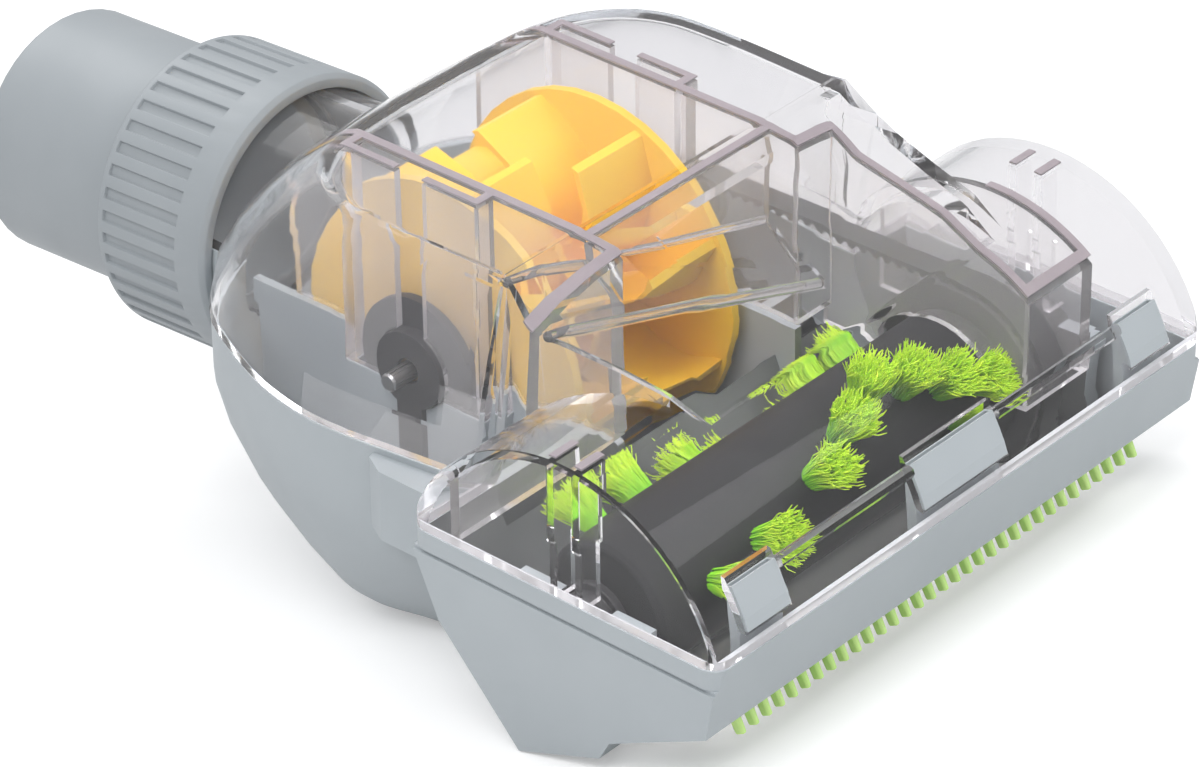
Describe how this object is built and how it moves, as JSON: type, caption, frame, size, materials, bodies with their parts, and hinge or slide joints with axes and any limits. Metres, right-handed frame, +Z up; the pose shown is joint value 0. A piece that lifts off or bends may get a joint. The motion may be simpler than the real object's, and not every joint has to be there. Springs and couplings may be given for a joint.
{
  "type": "vacuum turbo brush",
  "caption": "Vacuum cleaner turbo brush head: grey base, clear cover, air turbine, belt-driven bristle roller, locking ring and swivelling hose tube.",
  "frame": {"origin": "centre of the footprint, on the surface the brush rests on", "axes": "+X along the roller towards the belt's side, +Y back towards the hose tube, +Z up"},
  "size_m": [0.1206, 0.1974, 0.0826],
  "materials": {
    "grey_plastic": "satin moulded grey plastic",
    "ring_plastic": "satin moulded grey plastic, a little darker",
    "clear_plastic": "polished clear plastic",
    "yellow_plastic": "satin yellow plastic",
    "black_plastic": "matt black plastic",
    "dark_rubber": "matt dark rubber",
    "steel": "bright drawn steel",
    "bronze": "sintered bronze",
    "green_bristle": "green nylon bristles",
    "green_rubber": "soft green plastic"
  },
  "bodies": {
    "housing": {"base_housing": "grey_plastic", "bearing_holder_left": "black_plastic", "bearing_holder_right": "black_plastic", "brush_bearing_left": "black_plastic", "brush_bearing_right": "black_plastic", "comb_strip": "green_rubber", "drive_belt": "dark_rubber", "neck_seal": "dark_rubber", "top_cover": "clear_plastic", "turbine_bearing_left": "bronze", "turbine_bearing_right": "bronze"},
    "turbine": {"turbine_rotor": "yellow_plastic", "turbine_shaft": "steel", "turbine_pulley": "black_plastic"},
    "brush": {"brush_roller": "black_plastic", "brush_axle": "steel", "brush_pulley": "black_plastic", "tuft_1_1": "green_bristle", "tuft_1_2": "green_bristle", "tuft_1_3": "green_bristle", "tuft_1_4": "green_bristle", "tuft_1_5": "green_bristle", "tuft_1_6": "green_bristle", "tuft_1_7": "green_bristle", "tuft_1_8": "green_bristle", "tuft_2_1": "green_bristle", "tuft_2_2": "green_bristle", "tuft_2_3": "green_bristle", "tuft_2_4": "green_bristle", "tuft_2_5": "green_bristle", "tuft_2_6": "green_bristle", "tuft_2_7": "green_bristle", "tuft_2_8": "green_bristle"},
    "ring": {"locking_ring": "ring_plastic"},
    "tube": {"connector_tube": "ring_plastic"}
  },
  "joints": [
    {"name": "turbine_spin", "type": "hinge", "parent": "housing", "child": "turbine", "pos_m": [0, -0.00919, 0.04311], "axis": [1, 0, 0], "continuous": true},
    {"name": "brush_spin", "type": "hinge", "parent": "housing", "child": "brush", "pos_m": [0, -0.06676, 0.02186], "axis": [1, 0, 0], "continuous": true},
    {"name": "ring_turn", "type": "hinge", "parent": "housing", "child": "ring", "pos_m": [0, 0.03834, 0.05088], "axis": [0, 0.9823, 0.1873], "range_deg": [0, 40]},
    {"name": "tube_swivel", "type": "hinge", "parent": "housing", "child": "tube", "pos_m": [0, 0.03834, 0.05088], "axis": [0, 0.9823, 0.1873], "continuous": true}
  ],
  "couplings": [
    {"joint": "brush_spin", "follows": "turbine_spin", "ratio": 0.4623}
  ]
}
